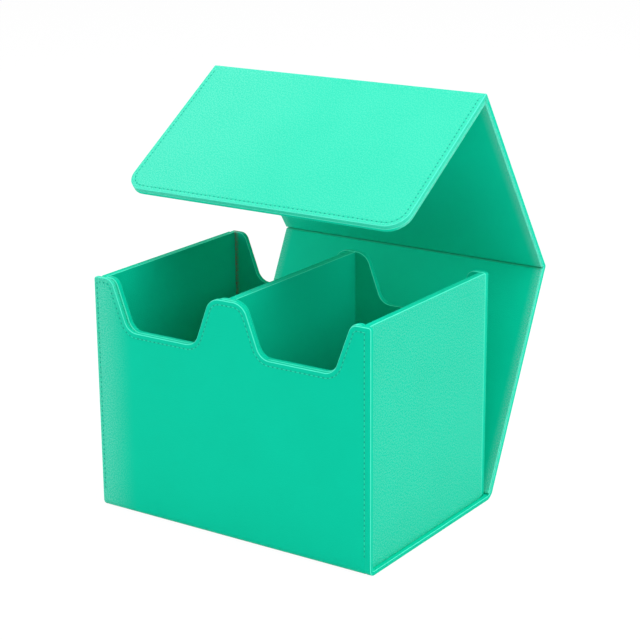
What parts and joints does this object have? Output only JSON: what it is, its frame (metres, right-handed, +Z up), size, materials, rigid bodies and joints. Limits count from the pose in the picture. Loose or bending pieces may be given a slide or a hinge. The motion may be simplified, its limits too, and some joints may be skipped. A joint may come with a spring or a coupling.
{
  "type": "graded card storage case",
  "caption": "Leatherette storage box for rows of graded card slabs, with thumb notches, a centre divider and a wrap-round lid of hinged panels that ends in a magnetic front flap.",
  "frame": {"origin": "centre of the box's underside, without the open lid", "axes": "+X to the right seen from the front, +Y to the back, +Z up"},
  "size_m": [0.1944, 0.2037, 0.2544],
  "materials": {
    "leatherette": "fine-grained sea green leatherette, satin",
    "lining": "smooth matching lining leatherette, satin",
    "greyboard": "pressed greyboard, matt",
    "magnet": "plated magnet disc"
  },
  "bodies": {
    "box": {"front_cover": "leatherette", "front_board": "greyboard", "front_magnet_left": "magnet", "front_magnet_right": "magnet", "front_bottom_fold": "leatherette", "bottom_cover": "leatherette", "bottom_board": "greyboard", "rear_bottom_fold": "leatherette", "inner_front_wall_lining": "lining", "inner_front_wall_board": "greyboard", "rear_wall_lining": "lining", "rear_wall_board": "greyboard", "left_wall_lining": "lining", "left_wall_board": "greyboard", "right_wall_lining": "lining", "right_wall_board": "greyboard", "divider_lining": "lining", "divider_board": "greyboard", "floor_board": "greyboard", "left_floor_lining": "lining", "right_floor_lining": "lining"},
    "back_panel": {"back_cover": "leatherette", "back_board": "greyboard", "back_lining": "lining"},
    "spine": {"rear_top_fold": "leatherette"},
    "top_panel": {"top_cover": "leatherette", "top_board": "greyboard", "top_lining": "lining", "front_top_fold": "leatherette"},
    "flap": {"flap_cover": "leatherette", "flap_board": "greyboard", "flap_lining": "lining", "flap_magnet_left": "magnet", "flap_magnet_right": "magnet"}
  },
  "joints": [
    {"name": "rear_panel_fold", "type": "hinge", "parent": "box", "child": "back_panel", "pos_m": [0, 0.0696, 0.003], "axis": [-1, 0, 0], "range_deg": [-26, 64], "deforming": ["rear_bottom_fold"]},
    {"name": "spine_fold", "type": "hinge", "parent": "back_panel", "child": "spine", "pos_m": [0, 0.13338, 0.13377], "axis": [-1, 0, 0], "range_deg": [-16.25, 40], "deforming": ["rear_top_fold"]},
    {"name": "top_panel_fold", "type": "hinge", "parent": "spine", "child": "top_panel", "pos_m": [0, 0.13338, 0.13377], "axis": [-1, 0, 0], "range_deg": [-14.05, 19.6]},
    {"name": "flap_fold", "type": "hinge", "parent": "top_panel", "child": "flap", "pos_m": [0, 0.05559, 0.25258], "axis": [-1, 0, 0], "range_deg": [-1.6, 89], "deforming": ["front_top_fold"]}
  ],
  "couplings": [
    {"joint": "spine_fold", "follows": "rear_panel_fold", "ratio": 0.625}
  ]
}
